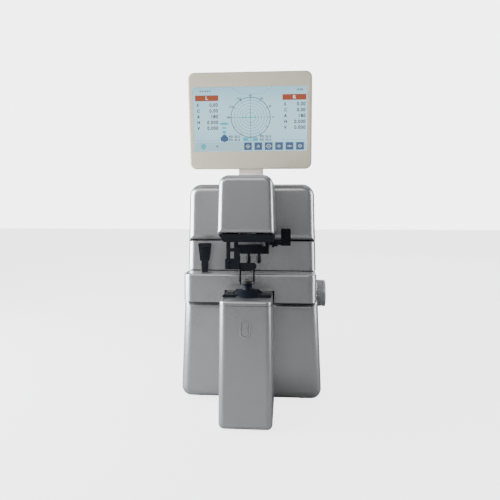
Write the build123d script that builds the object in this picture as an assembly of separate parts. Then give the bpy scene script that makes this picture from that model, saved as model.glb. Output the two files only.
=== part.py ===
from build123d import *
import math
import os

# Lensmeter: a bench instrument that reads the power of a spectacle lens.
# Millimetres. The origin is on the optical axis at the table top. The front faces -Y, up is +Z.

os.makedirs("parts", exist_ok=True)

# ---- shared values ---------------------------------------------------------------------------
wall = 2.5  # moulded and cast shells
gap = 0.4  # between pieces that move past each other
run = 0.05  # radial clearance of a shaft in its bearing
seam = 0.5  # parting line between two covers
foot_height = 4.0
body_rear = 210.0
corner_round = 10.0  # vertical front corners of the body covers

# ---- pillar that carries the nosepiece -------------------------------------------------------
pillar_front = -38.0
pillar_foot_width = 66.0
pillar_top_width = 63.0
pillar_top = 151.0
pillar_corner = 7.5
cap_thick = 5.6
cap_round = 3.0

# ---- lower body ------------------------------------------------------------------------------
lower_front = 52.0
lower_foot_half = 98.0
lower_top_half = 93.0
lower_top = 141.0

# ---- lens table ------------------------------------------------------------------------------
table_half = 90.0
table_front = 31.0
table_rear = 64.0
table_bottom = lower_top + 0.9
table_top = 179.6
table_forward = 11.0  # travel towards the nosepiece
table_back = 14.0  # travel away from it
pinion_module = 0.8
pinion_teeth = 20
knob_y = 88.0
knob_z = 146.0
knob_radius = 19.0
table_shaft_radius = 3.0

# ---- upper body ------------------------------------------------------------------------------
upper_front = 67.0
skirt_bottom_half = 91.0
skirt_bottom = 180.6
skirt_top = 220.8
upper_bottom_half = 90.2
upper_top_half = 88.6
upper_top = 302.0
upper_round = 17.0

# ---- head ------------------------------------------------------------------------------------
head_front = -30.0
head_bottom_half = 35.0
head_top_half = 33.0
head_bottom = 237.0
head_top = 309.0
head_round = 12.0
head_corner = 7.0
ridge_rear = 104.0
cover_bottom = 227.0

# ---- nosepiece -------------------------------------------------------------------------------
nose_base_radius = 19.0
nose_base_height = 6.5
nose_radius = 5.4
nose_lip_radius = 7.3
nose_height = 20.0
nose_bore = 3.8

# ---- lens holder (two sprung pins that press the lens down) -----------------------------------
holder_y = -10.0
holder_half_depth = 3.0
holder_pin_x = 8.5
holder_pin_radius = 1.0
holder_bar_low = 191.0
holder_bar_high = 199.6
holder_tip_low = 172.5

# ---- marker (three ink pens that swing in over the lens) --------------------------------------
marker_shaft_y = 17.0
marker_shaft_z = 222.7
marker_shaft_radius = 2.5
marker_crank = 17.0  # length of both parallel arms
link_dy = 8.0  # second fixed pivot, from the first
link_dz = 7.3
pen_spacing = 13.5
pen_radius = 2.9
pen_stroke = 3.0

# ---- nose-pad slider ---------------------------------------------------------------------------
slider_y = 50.0
slider_x = -63.0
slider_travel = 126.0

# ---- screen ------------------------------------------------------------------------------------
screen_width = 168.0
screen_height = 131.0
screen_depth = 22.0
screen_corner = 9.0
screen_lean = 9.0
screen_y = 52.0
screen_z = 388.0
display_width = 154.2
display_height = 85.9
display_rise = 2.5  # display centre above the housing centre
hinge_y = 5.0  # tilt axis in the screen's own frame
hinge_z = -46.0
hinge_pin_radius = 2.5
neck_half = 17.0


# ---- shapes used many times --------------------------------------------------------------------
def block(x0, x1, y0, y1, z0, z1):
    """A box between two corners."""
    return Pos((x0 + x1) / 2, (y0 + y1) / 2, (z0 + z1) / 2) * Box(x1 - x0, y1 - y0, z1 - z0)


def rod_x(y, z, radius, x0, x1):
    return Pos((x0 + x1) / 2, y, z) * Rot(0, 90, 0) * Cylinder(radius, x1 - x0)


def rod_y(x, z, radius, y0, y1):
    return Pos(x, (y0 + y1) / 2, z) * Rot(90, 0, 0) * Cylinder(radius, y1 - y0)


def rod_z(x, y, radius, z0, z1):
    return Pos(x, y, (z0 + z1) / 2) * Cylinder(radius, z1 - z0)


def column(low_width, high_width, y0, y1, z0, z1, corner):
    """An upright block with rounded vertical corners whose sides draw in towards the top."""
    low = Pos(0, (y0 + y1) / 2, z0) * RectangleRounded(low_width, y1 - y0, corner)
    high = Pos(0, (y0 + y1) / 2, z1) * RectangleRounded(high_width, y1 - y0, corner)
    return loft([low, high])


def slab(points, rounds, y0, y1):
    """A solid from y0 back to y1 with the front view (x, z) given, its corners rounded."""
    outline = FilletPolyline(*points, radius=rounds, close=True)
    return extrude(Plane.XZ.offset(-y1) * make_face(outline), y1 - y0)


def side_plate(points, rounds, x0, x1):
    """A solid from x0 to x1 with the side view (y, z) given, its corners rounded."""
    outline = FilletPolyline(*points, radius=rounds, close=True)
    return extrude(Plane.YZ.offset(x0) * make_face(outline), x1 - x0)


def turned(points):
    """A solid of revolution about the Z axis with the half section (r, z) given."""
    return revolve(Plane.XZ * make_face(Polyline(*points, close=True)), Axis.Z)


def front_edges(shape, y, low, high):
    """The edges of the face at y whose middles lie between two heights."""
    face = shape.faces().filter_by(Axis.Y).sort_by(lambda f: abs(f.center().Y - y))[0]
    return [e for e in face.edges() if low < e.center().Z < high]


def write(name, shape):
    """Writes one sub-part. A fastener group stays a set of separate solids."""
    shape.label = name
    export_step(shape, f"parts/{name}.step")


# ==== base: feet, base plate, lower shell ========================================================
plate_low = foot_height + 0.5
plate_high = plate_low + 3.0
foot_places = [(-72, 80), (72, 80), (-72, 190), (72, 190)]
bolt_spacing_x = 120.0
bolt_spacing_y = 80.0
bolt_hole_radius = 2.1
bolt_centre_y = 132.0

lower_points = [
    (-lower_foot_half, foot_height),
    (lower_foot_half, foot_height),
    (lower_top_half, lower_top),
    (-lower_top_half, lower_top),
]
lower_shell = slab(lower_points, [14, 14, 0.6, 0.6], lower_front, body_rear)
lower_shell = fillet(front_edges(lower_shell, lower_front, 0, lower_top - 0.5), 12)
inner_points = [
    (-lower_foot_half + wall, foot_height + wall),
    (lower_foot_half - wall, foot_height + wall),
    (lower_top_half - wall, lower_top - wall),
    (-lower_top_half + wall, lower_top - wall),
]
lower_hollow = slab(inner_points, [12, 12, 0.6, 0.6], lower_front + wall, body_rear + 1)
lower_hollow = fillet(front_edges(lower_hollow, lower_front + wall, 0, lower_top - wall - 0.5), 9.5)
lower_shell -= lower_hollow
plate_half = 84.0
plate_front = 68.0
lower_shell -= block(-plate_half - 0.3, plate_half + 0.3, plate_front - 0.3, body_rear + 1, 0, 20)
pillar_port_half = 27.0
lower_shell -= block(-pillar_port_half, pillar_port_half, lower_front - 1, 60, 20, 132)
frame_port_half = 46.0
lower_shell -= block(-frame_port_half, frame_port_half, 92, body_rear - 14, 130, lower_top + 1)
bearing_places = [(52.0, 57.0), (79.5, 84.5)]
for bearing_x0, bearing_x1 in bearing_places:
    bearing = block(bearing_x0, bearing_x1, knob_y - 7, knob_y + 7, lower_top - 1, knob_z + 4.6)
    lower_shell += bearing
    lower_shell -= rod_x(knob_y, knob_z, table_shaft_radius + run, bearing_x0 - 1, bearing_x1 + 1)
pinion_well_x = (67.0, 77.0)
lower_shell -= block(*pinion_well_x, knob_y - 10, knob_y + 10, lower_top - wall - 1, lower_top + 1)
write("lower_shell", lower_shell)

base_plate = block(-plate_half, plate_half, plate_front, body_rear - wall - 0.3, plate_low, plate_high)
for foot_x, foot_y in foot_places:
    base_plate -= rod_z(foot_x, foot_y, 2.2, 0, 20)
for side in (-1, 1):
    for end in (-1, 1):
        bolt_x = side * bolt_spacing_x / 2
        bolt_y = bolt_centre_y + end * bolt_spacing_y / 2
        base_plate -= rod_z(bolt_x, bolt_y, bolt_hole_radius, 0, 20)
write("base_plate", base_plate)

feet = []
for foot_x, foot_y in foot_places:
    foot = Pos(foot_x, foot_y, plate_low / 2) * Cone(9.0, 7.6, plate_low)
    feet.append(foot + rod_z(foot_x, foot_y, 2.1, plate_low, plate_high + 0.8))

# ==== pillar: shell, cap, rubber pad, read button ================================================
pillar_low = 2.0
pillar_rear = lower_front
pillar_shell = column(
    pillar_foot_width, pillar_top_width, pillar_front, pillar_rear, pillar_low, pillar_top, pillar_corner
)
pillar_shell = fillet(pillar_shell.faces().sort_by(Axis.Z)[0].edges(), 6)
pillar_shell -= column(
    pillar_foot_width - 2 * wall,
    pillar_top_width - 2 * wall,
    pillar_front + wall,
    pillar_rear - wall,
    pillar_low + wall,
    pillar_top + 1,
    pillar_corner - wall,
)
pillar_shell -= block(-pillar_port_half, pillar_port_half, pillar_rear - 5, pillar_rear + 1, 20, 132)
button_z = 124.0
button_width = 12.1
button_height = 22.6
bezel_rim = 1.6


def stadium(width, height, y0, y1):
    """An upright oblong with round ends, from y0 back to y1."""
    outline = Plane.XZ.offset(-y1) * Pos(0, button_z) * Rot(0, 0, 90) * SlotOverall(height, width)
    return extrude(outline, y1 - y0)


pillar_shell -= stadium(button_width, button_height, pillar_front - 1, pillar_front + 5)
write("pillar_shell", pillar_shell)

feet.append(Pos(0, 6, pillar_low / 2) * extrude(RectangleRounded(40, 60, 6), pillar_low / 2, both=True))
write("rubber_feet", Compound(children=feet))

cap_low = pillar_top + seam
cap_high = cap_low + cap_thick
cap_hole = 12.3
cap_rear = pillar_rear - seam
cap_taper = (pillar_foot_width - pillar_top_width) / (pillar_top - pillar_low)
cap_width = pillar_top_width - cap_taper * seam
pillar_cap = column(
    cap_width, cap_width - cap_taper * cap_thick, pillar_front, cap_rear, cap_low, cap_high, pillar_corner
)
pillar_cap = fillet(pillar_cap.faces().sort_by(Axis.Z)[-1].edges(), cap_round)
pillar_cap += column(
    pillar_top_width - 2 * wall - 0.8,
    pillar_top_width - 2 * wall - 0.8,
    pillar_front + wall + 0.4,
    pillar_rear - wall - 0.4,
    pillar_top - 3,
    cap_low,
    pillar_corner - wall,
)
pillar_cap -= rod_z(0, 0, cap_hole, pillar_top - 5, cap_high + 1)
write("pillar_cap", pillar_cap)

button_bezel = stadium(button_width - 0.2, button_height - 0.2, pillar_front - 0.6, pillar_front + 4)
button_bezel -= stadium(
    button_width - 2 * bezel_rim, button_height - 2 * bezel_rim, pillar_front - 1, pillar_front + 5
)
write("button_bezel", button_bezel)

button_inner_width = button_width - 2 * bezel_rim - 2 * gap
button_inner_height = button_height - 2 * bezel_rim - 2 * gap
read_button = stadium(button_inner_width, button_inner_height, pillar_front - 0.3, pillar_front + 6)
read_button += stadium(button_width - 1, button_height - 1, pillar_front + 5.6, pillar_front + 7)
read_button += rod_y(0, button_z, 1.5, pillar_front + 7, pillar_front + 9)
write("read_button", read_button)

button_board = block(-11, 11, pillar_front + 14.5, pillar_front + 16.1, button_z - 17, button_z + 17)
button_board += block(-3, 3, pillar_front + 11.5, pillar_front + 14.5, button_z - 3, button_z + 3)
for post_z in (button_z - 14.5, button_z + 14.5):
    button_board += rod_y(0, post_z, 2.0, pillar_front + wall, pillar_front + 14.5)
write("button_board", button_board)

# ==== nosepiece and its stepped black base =======================================================
nose_low = cap_high
nose_seat_high = nose_low + nose_base_height
nose_top = nose_low + nose_height
nosepiece = turned(
    [
        (nose_bore, nose_low - 7),
        (cap_hole - 0.3, nose_low - 7),
        (cap_hole - 0.3, nose_low),
        (nose_base_radius, nose_low),
        (nose_base_radius - 0.4, nose_low + 0.8),
        (nose_base_radius * 0.78, nose_low + nose_base_height * 0.36),
        (nose_base_radius * 0.56, nose_low + nose_base_height * 0.66),
        (nose_radius + 1.6, nose_low + nose_base_height * 0.92),
        (nose_radius, nose_seat_high + 0.6),
        (nose_radius, nose_top - 4.2),
        (nose_radius - 0.8, nose_top - 4.2),
        (nose_radius - 0.8, nose_top - 1.6),
        (nose_bore, nose_top - 1.6),
    ]
)
write("nosepiece", nosepiece)
nose_tip = turned(
    [
        (nose_radius - 0.8, nose_top - 4.2),
        (nose_radius, nose_top - 4.2),
        (nose_radius + 0.1, nose_top - 3.0),
        (nose_lip_radius, nose_top - 1.4),
        (nose_lip_radius - 0.3, nose_top - 0.4),
        (nose_radius, nose_top),
        (nose_bore, nose_top),
        (nose_bore, nose_top - 1.6),
        (nose_radius - 0.8, nose_top - 1.6),
    ]
)
write("nosepiece_tip", nose_tip)

step_low = 3.2  # lower tier of the black base
step_high = 7.0
step_rear = 8.0
step_top = cap_high + step_low
base_points = [(-31.0, cap_high), (31.0, cap_high), (29.5, step_top), (-29.5, step_top)]
nose_base = slab(base_points, [0.4, 0.4, 1.2, 1.2], -14, step_rear)
tier_points = [
    (-19.5, cap_high + step_low),
    (19.5, cap_high + step_low),
    (14.0, cap_high + step_high),
    (-14.0, cap_high + step_high),
]
nose_base += slab(tier_points, [0.3, 0.3, 1.2, 1.2], 0.5, step_rear)
nose_base -= rod_z(0, 0, nose_base_radius + 0.3, cap_high - 1, cap_high + nose_base_height - 3.5)
nose_base -= Pos(0, 0, cap_high + 5) * Cone(nose_base_radius + 1.0, nose_radius + 1.4, 8)
nose_base = Compound(children=nose_base.solids())
write("nosepiece_base", nose_base)

# ==== optics in the pillar =======================================================================
barrel_radius = 14.0
barrel_bore = 11.6
barrel_low = 66.0
barrel_high = 146.0
arm_low = 54.0  # lower arm of the frame
arm_high = 60.0
sensor_barrel = rod_z(0, 0, barrel_radius, barrel_low, barrel_high) - rod_z(0, 0, barrel_bore, 60, 150)
sensor_barrel += rod_z(0, 0, 19, arm_high, barrel_low) - rod_z(0, 0, barrel_bore, 50, 150)
write("sensor_barrel", sensor_barrel)
imaging_lens = rod_z(0, 0, barrel_bore, 118, 121)
imaging_lens += (Pos(0, 0, 121 - 24.0) * Sphere(26.5)) & rod_z(0, 0, barrel_bore, 120.5, 126)
write("imaging_lens", imaging_lens)
pinhole_plate = rod_z(0, 0, barrel_bore, 140, 141.2)
for column_index in (-1, 0, 1):
    for row_index in (-1, 0, 1):
        pinhole_plate -= rod_z(column_index * 3.2, row_index * 3.2, 0.7, 139, 142)
write("pinhole_plate", pinhole_plate)
sensor_board = block(-20, 20, -20, 20, arm_low - 6, arm_low - 4.4)
sensor_board += block(-6, 6, -6, 6, arm_low - 4.4, arm_low - 2.6)
for corner_x in (-16, 16):
    for corner_y in (-16, 16):
        sensor_board += rod_z(corner_x, corner_y, 2, arm_low - 4.4, arm_low)
write("sensor_board", sensor_board)

# ==== frame: column with a lower arm to the sensor and an upper arm to the lamp ==================
column_front = 112.0
column_rear = 142.0
upper_arm_low = 284.0
upper_arm_high = 292.0
frame = block(-24, 24, column_front, column_rear, plate_high, upper_arm_high)
frame -= block(-18, 18, column_front + 6, column_rear + 1, plate_high + 8, upper_arm_high - 14)
window_depth = 6.8  # room for the lens table's carriage when it slides back
frame -= block(-25, 25, column_front - 1, column_front + window_depth, knob_z + 10, knob_z + 35)
frame += block(-22, 22, -20, column_front, arm_low, arm_high)
frame += block(-24, 24, -18, column_front, upper_arm_low, upper_arm_high)
frame -= rod_z(0, 0, barrel_bore, arm_low - 1, arm_high + 1)
lamp_radius = 11.0
frame -= rod_z(0, 0, lamp_radius - 2, upper_arm_low - 1, upper_arm_high + 1)
write("column_frame", frame)

# ==== middle body and lens table =================================================================
mid_front = table_rear + table_back + 1.0
mid_low = lower_top + seam
mid_high = skirt_bottom - seam


def wrap(half, y0, y1, z0, z1, thick, corner):
    """An upright wall with rounded rear corners, open at the top, the bottom and the front."""
    outer = Pos(0, (y0 + y1) / 2, (z0 + z1) / 2) * extrude(
        RectangleRounded(2 * half, y1 - y0 + 60, corner), (z1 - z0) / 2, both=True
    )
    inner = Pos(0, (y0 + y1) / 2, (z0 + z1) / 2) * extrude(
        RectangleRounded(2 * half - 2 * thick, y1 - y0 + 60 - 2 * thick, corner - thick), z1 - z0, both=True
    )
    return Pos(0, -30, 0) * (outer - inner) - block(-half - 1, half + 1, y0 - 90, y0, z0 - 1, z1 + 1)


mid_shell = wrap(table_half, mid_front, body_rear, mid_low, mid_high, wall, corner_round)
mid_shell -= rod_x(knob_y, knob_z, table_shaft_radius + 1.0, 80, 100)
write("mid_shell", mid_shell)

arch_half = 33.5
arch_top = cap_high + 0.9
table_outer = Pos(0, (table_front + table_rear) / 2 + 20, (table_bottom + table_top) / 2) * extrude(
    RectangleRounded(2 * table_half, table_rear - table_front + 40, 12),
    (table_top - table_bottom) / 2,
    both=True,
)
table_outer -= block(-100, 100, table_rear, table_rear + 60, 100, 200)
table_outer = fillet(
    [e for e in table_outer.faces().sort_by(Axis.Z)[-1].edges() if e.center().Y < table_rear - 1], 2.5
)
table_inner = Pos(0, (table_front + table_rear) / 2 + 20, (table_bottom + table_top) / 2 - wall) * extrude(
    RectangleRounded(2 * table_half - 2 * wall, table_rear - table_front + 40 - 2 * wall, 12 - wall),
    (table_top - table_bottom) / 2,
    both=True,
)
lens_table = table_outer - table_inner
lens_table -= block(-arch_half, arch_half, table_front - 1, table_front + wall + 1, 100, arch_top)
sleeve_half = table_half - wall - 1.2
sleeve_low = knob_z + table_shaft_radius + 2.5
sleeve_high = mid_high - 3.5
sleeve_rear = mid_front + table_back + 11
sleeve = block(-sleeve_half, sleeve_half, table_rear - 3, sleeve_rear, sleeve_low, sleeve_high)
sleeve -= block(-sleeve_half + 2, sleeve_half - 2, table_rear - 5, sleeve_rear + 1, 100, sleeve_high - 2)
lens_table += sleeve
rear_frame = block(
    -table_half + 1, table_half - 1, table_rear - wall, table_rear, sleeve_low, table_top - 1,
)
rear_frame -= block(-sleeve_half + 2, sleeve_half - 2, table_rear - 5, table_rear + 1, 100, sleeve_high - 2)
lens_table += rear_frame
slot_half = slider_travel / 2 + 6
lens_table -= block(-slot_half, slot_half, slider_y - 2.2, slider_y + 2.2, table_top - 5, table_top + 1)

# the rack under the table's right side, and the pinion that drives it
pitch_radius = pinion_module * pinion_teeth / 2
rack_x0 = pinion_well_x[0] + 1
rack_x1 = pinion_well_x[1] - 1
rack_pitch_z = knob_z + pitch_radius
tooth_pitch = math.pi * pinion_module
pressure = math.radians(20)
backlash = 0.12
addendum = 0.8 * pinion_module
dedendum = 1.15 * pinion_module


def rack_tooth(y):
    """One rack tooth pointing down, centred at y."""
    half = tooth_pitch / 4 - backlash / 2
    low = half - addendum * math.tan(pressure)
    high = half + dedendum * math.tan(pressure)
    points = [
        (y - low, rack_pitch_z - addendum),
        (y + low, rack_pitch_z - addendum),
        (y + high, rack_pitch_z + dedendum),
        (y - high, rack_pitch_z + dedendum),
    ]
    return extrude(Plane.YZ.offset(rack_x0) * make_face(Polyline(*points, close=True)), rack_x1 - rack_x0)


rack_front = table_rear + 1.0
rack_back = knob_y + table_forward + 8
table_rack = block(rack_x0, rack_x1, rack_front, rack_back, rack_pitch_z + dedendum - 0.01, sleeve_high - 2)
tooth_count = int((rack_back - rack_front - 2) / tooth_pitch)
first_tooth = knob_y - tooth_pitch * int((knob_y - rack_front - 1.5) / tooth_pitch)
for tooth in range(tooth_count):
    table_rack += rack_tooth(first_tooth + tooth * tooth_pitch)
write("table_rack", table_rack)


def involute(base, t):
    return base * (math.cos(t) + t * math.sin(t)), base * (math.sin(t) - t * math.cos(t))


base_radius = pitch_radius * math.cos(pressure)
tip_radius = pitch_radius + addendum
root_radius = pitch_radius - dedendum
pitch_turn = math.tan(pressure) - pressure
half_tooth_turn = (tooth_pitch / 2 - backlash) / pitch_radius / 2
flank = []
for step in range(5):
    t = math.sqrt((tip_radius / base_radius) ** 2 - 1) * step / 4
    x, y = involute(base_radius, t)
    turn = -half_tooth_turn - pitch_turn
    flank.append((x * math.cos(turn) - y * math.sin(turn), x * math.sin(turn) + y * math.cos(turn)))
tooth_outline = [(root_radius * 0.9, flank[0][1])] + flank
tooth_outline += [(x, -y) for x, y in reversed(tooth_outline)]
pinion_width = rack_x1 - rack_x0 - 1
tooth_solid = extrude(make_face(Polyline(*tooth_outline, close=True)), pinion_width)
pinion = Cylinder(root_radius, pinion_width, align=(Align.CENTER, Align.CENTER, Align.MIN))
for tooth in range(pinion_teeth):
    pinion += Rot(0, 0, (tooth + 0.5) * 360 / pinion_teeth) * tooth_solid
# the gear's own X axis is turned up to the rack, between two of its teeth
pinion = Pos(rack_x0 + 0.5, knob_y, knob_z) * Rot(0, 90, 0) * Rot(0, 0, 180) * pinion

shaft_left = 48.0
knob_inner = lower_top_half + 1.4
knob_outer = knob_inner + 10.5
table_shaft = rod_x(knob_y, knob_z, table_shaft_radius, shaft_left, knob_outer - 3)
write("pinion_shaft", table_shaft + pinion)

knob = rod_x(knob_y, knob_z, knob_radius - 1.6, knob_inner, knob_outer - 4.5)
ribs = 36
for rib in range(ribs):
    angle = 2 * math.pi * rib / ribs
    rib_y = knob_y + (knob_radius - 1.7) * math.cos(angle)
    rib_z = knob_z + (knob_radius - 1.7) * math.sin(angle)
    knob += rod_x(rib_y, rib_z, 1.0, knob_inner + 1, knob_outer - 4.5)
knob -= rod_x(knob_y, knob_z, table_shaft_radius, knob_inner - 1, knob_outer)
write("table_knob", knob)
knob_cap = rod_x(knob_y, knob_z, knob_radius, knob_outer - 4.5, knob_outer)
knob_cap = fillet(knob_cap.edges(), 1.4)
knob_cap -= rod_x(knob_y, knob_z, table_shaft_radius, knob_outer - 6, knob_outer - 3)
write("knob_cap", knob_cap)

guide_x = 58.0
guide_z = 168.0
guide_radius = 3.0
guide_front = table_rear + 6 + table_back
guide_rear = 172.0
guides = []
carriage = block(-guide_x - 7, guide_x + 7, 98, 104, 160, sleeve_high - 1)
for side in (-1, 1):
    rod_place = side * guide_x
    guide = block(rod_place - 8, rod_place + 8, 164, guide_rear, lower_top, guide_z + 7)
    guides.append(guide + rod_y(rod_place, guide_z, guide_radius, guide_front, guide_rear))
    carriage += block(rod_place - 7, rod_place + 7, 92, 118, guide_z - 6.5, sleeve_high - 1)
    carriage -= rod_y(rod_place, guide_z, guide_radius + run, 80, 130)
write("table_guides", Compound(children=guides))
carriage -= block(-40, 40, 90, 103, 100, 168)
lens_table += carriage
for side in (-1, 1):
    lens_table -= rod_y(side * guide_x, guide_z, guide_radius + run, 80, 130)
write("lens_table", lens_table)

# ==== nose-pad slider on its rail in the table ===================================================
rail_z = 170.0
rail_radius = 1.5
rail_half = slot_half + 4
slider_rail = rod_x(slider_y, rail_z, rail_radius, -rail_half - 4, rail_half + 4)
for side in (-1, 1):
    end = side * (rail_half + 1)
    slider_rail += block(end - 2.5, end + 2.5, slider_y - 4, slider_y + 4, rail_z - 4, table_top - wall)
write("slider_rail", slider_rail)
shoe = block(slider_x - 6, slider_x + 6, slider_y - 4, slider_y + 4, rail_z - 4, table_top - wall - 0.4)
shoe += block(slider_x - 4.2, slider_x + 4.2, slider_y - 1.8, slider_y + 1.8, rail_z, table_top + 0.7)
shoe -= rod_x(slider_y, rail_z, rail_radius + run, slider_x - 8, slider_x + 8)
paddle_points = [
    (slider_x - 6.2, 195.4),
    (slider_x + 6.2, 195.4),
    (slider_x + 9.2, 219.6),
    (slider_x - 9.2, 219.6),
]
paddle = slab(paddle_points, [1.2, 1.2, 1.4, 1.4], slider_y - 2.6, slider_y + 2.6)
paddle += slab(
    [(slider_x - 4.5, 186), (slider_x + 4.5, 186), (slider_x + 4.5, 196), (slider_x - 4.5, 196)],
    [1, 1, 0.6, 0.6],
    slider_y - 2.2,
    slider_y + 2.2,
)
paddle += rod_y(slider_x, 185.2, 4.4, slider_y - 2.2, slider_y + 2.2)
paddle += block(slider_x - 3.4, slider_x + 3.4, slider_y - 1.8, slider_y + 1.8, table_top, 186)
write("nose_pad_slider", shoe + paddle)

# ==== upper body =================================================================================
skirt_depth = body_rear - upper_front
skirt_centre = (body_rear + upper_front) / 2


def skirt_block(low_half, high_half, depth, z0, z1, corner):
    low = Pos(0, skirt_centre, z0) * RectangleRounded(2 * low_half, depth, corner)
    high = Pos(0, skirt_centre, z1) * RectangleRounded(2 * high_half, depth, corner)
    return loft([low, high])


skirt = skirt_block(
    skirt_bottom_half, upper_bottom_half, skirt_depth, skirt_bottom, skirt_top, corner_round,
)
skirt -= skirt_block(
    skirt_bottom_half - wall,
    upper_bottom_half - wall,
    skirt_depth - 2 * wall,
    skirt_bottom + wall,
    skirt_top + 1,
    corner_round - wall,
)
skirt -= block(-70, 70, 100, body_rear - 16, skirt_bottom - 1, skirt_bottom + wall + 1)
write("upper_skirt", skirt)

upper_bottom = skirt_top + seam
side_button_y = 140.0
side_button_z = 248.0
side_button_radius = 4.0
upper_points = [
    (-upper_bottom_half, upper_bottom),
    (upper_bottom_half, upper_bottom),
    (upper_top_half, upper_top),
    (-upper_top_half, upper_top),
]
upper_shell = slab(upper_points, [0.6, 0.6, upper_round, upper_round], upper_front, body_rear)
upper_shell = fillet(front_edges(upper_shell, upper_front, upper_bottom + 0.5, upper_top + 1), corner_round)
upper_shell = fillet(front_edges(upper_shell, body_rear, upper_bottom + 0.5, upper_top + 1), 7)
hollow_points = [
    (-upper_bottom_half + wall, upper_bottom - 1),
    (upper_bottom_half - wall, upper_bottom - 1),
    (upper_top_half - wall, upper_top - wall),
    (-upper_top_half + wall, upper_top - wall),
]
upper_hollow = slab(
    hollow_points, [0.6, 0.6, upper_round - wall, upper_round - wall], upper_front + wall, body_rear - wall
)
upper_hollow = fillet(
    front_edges(upper_hollow, upper_front + wall, upper_bottom - 0.5, upper_top), corner_round - wall
)
upper_shell -= upper_hollow
upper_shell -= block(-29, 29, upper_front - 1, upper_front + wall + 9, head_bottom + 3, upper_arm_high + 4)
upper_shell -= rod_x(side_button_y, side_button_z, side_button_radius + gap, 80, 100)
vent_count = 9
vent_pitch = 9.0
for vent in range(vent_count):
    vent_x = (vent - (vent_count - 1) / 2) * vent_pitch
    upper_shell -= block(vent_x - 1.6, vent_x + 1.6, body_rear - 5, body_rear + 1, 246, 282)
write("upper_shell", upper_shell)

side_button_x = (upper_top_half - 4, upper_bottom_half + 2.8)
side_button = rod_x(side_button_y, side_button_z, side_button_radius, *side_button_x)
side_button = fillet(side_button.edges().sort_by(Axis.X)[-1], 1.2)
side_button += rod_x(side_button_y, side_button_z, side_button_radius + 1.5, 81, upper_top_half - 4)
write("side_button", side_button)

# ==== head =======================================================================================


def head_block(shrink, y0, y1, z0, z1):
    """The head's front view, drawn in by shrink on every side, from y0 back to y1."""
    points = [
        (-head_bottom_half + shrink, z0),
        (head_bottom_half - shrink, z0),
        (head_top_half - shrink, z1),
        (-head_top_half + shrink, z1),
    ]
    rounds = [0.6, 0.6, head_round - shrink, head_round - shrink]
    shape = slab(points, rounds, y0, y1)
    return fillet(front_edges(shape, y0, z0 + 0.5, z1 + 1), head_corner - shrink)


head_shell = head_block(0, head_front, upper_front, head_bottom, head_top)
head_shell += head_block(0, head_front, ridge_rear, head_bottom, head_top) - block(
    -50, 50, head_front - 1, ridge_rear + 1, 200, upper_top
)
head_shell -= head_block(wall, head_front + wall, upper_front + 1, head_bottom - 1, head_top - wall)
lean = math.radians(screen_lean)
axis_y = screen_y + hinge_y * math.cos(lean) - hinge_z * math.sin(lean)
axis_z = screen_z + hinge_y * math.sin(lean) + hinge_z * math.cos(lean)
neck_step = 2.0
head_shell += Pos(0, axis_y + 4, head_top + neck_step / 2 - 0.5) * extrude(
    RectangleRounded(2 * neck_half + 4, 17, 3), neck_step / 2 + 0.5, both=True
)
write("head_shell", head_shell)

# the bottom cover slopes in at the left and the front; its right cheek carries the marker shaft
cover_high = head_bottom - seam
cover_front = head_front + 2.0
cover_rear = upper_front - seam
cheek_low = 217.5
cover_points = [(-27.0, cover_bottom), (33.6, cover_bottom), (34.2, cover_high), (-33.6, cover_high)]
cover = slab(cover_points, [1.5, 1.2, 0.6, 0.6], cover_front, cover_rear)
cover_inner_points = [(-25.0, cover_bottom + 2), (31.4, cover_bottom + 2), (31.8, 240), (-32.6, 240)]
cover -= slab(cover_inner_points, [0.8, 0.8, 0.6, 0.6], cover_front + 2, cover_rear - 2)
holder_slot = (-27.4, -8.2, holder_y - holder_half_depth - 0.8, holder_y + holder_half_depth + 0.8)
cover -= block(*holder_slot, cover_bottom - 1, cover_bottom + 3)
marker_slot_x = (21.4, 30.9)
cover -= block(*marker_slot_x, -8, marker_shaft_y + link_dy + 6, cover_bottom - 1, cover_bottom + 3)
cover -= rod_z(0, 0, lamp_radius + 0.6, cover_bottom - 1, cover_bottom + 3)
cheek_x0 = 31.0
cheek_x1 = 33.6
cheek = side_plate(
    [
        (marker_shaft_y - 8, cheek_low),
        (marker_shaft_y + 12, cheek_low),
        (marker_shaft_y + 14, cover_high),
        (marker_shaft_y - 10, cover_high),
    ],
    [4, 4, 1, 1],
    cheek_x0,
    cheek_x1,
)
boss_x1 = 38.0
cheek += rod_x(marker_shaft_y, marker_shaft_z, 4.3, cheek_x0, boss_x1)
cover -= block(cheek_x0 - 0.05, cheek_x1 + 2, marker_shaft_y - 12, marker_shaft_y + 16, 200, cover_bottom)
cover += cheek
link_y = marker_shaft_y + link_dy
link_z = marker_shaft_z + link_dz
cover += rod_x(link_y, link_z, 1.5, 26.8, cheek_x0 + 1)
cover -= rod_x(marker_shaft_y, marker_shaft_z, marker_shaft_radius + run, cheek_x0 - 1, boss_x1 + 1)
write("head_bottom_cover", cover)

# ==== lamp =======================================================================================
lamp_low = cover_bottom + 1.5
lamp_tube = rod_z(0, 0, lamp_radius, lamp_low, upper_arm_low) - rod_z(0, 0, lamp_radius - 1.6, 200, 300)
lamp_tube += rod_z(0, 0, lamp_radius - 1.6, lamp_low, lamp_low + 1.4) - rod_z(0, 0, 5, 200, 300)
write("lamp_tube", lamp_tube)
collimator = rod_z(0, 0, lamp_radius - 1.6, 236, 238.5)
collimator += (Pos(0, 0, 238.5 - 14.0) * Sphere(18)) & rod_z(0, 0, lamp_radius - 1.6, 238, 244)
write("collimator_lens", collimator)
lamp_board = block(-14, 14, -14, 14, upper_arm_high, upper_arm_high + 1.6)
lamp_board += rod_z(0, 0, 4, upper_arm_high - 1.2, upper_arm_high)
lamp_board += block(6, 12, -10, 10, upper_arm_high + 1.6, upper_arm_high + 5)
lamp_led = rod_z(0, 0, 2.5, upper_arm_high - 5, upper_arm_high - 1.2)
lamp_led += Pos(0, 0, upper_arm_high - 5) * Sphere(2.5)
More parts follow.
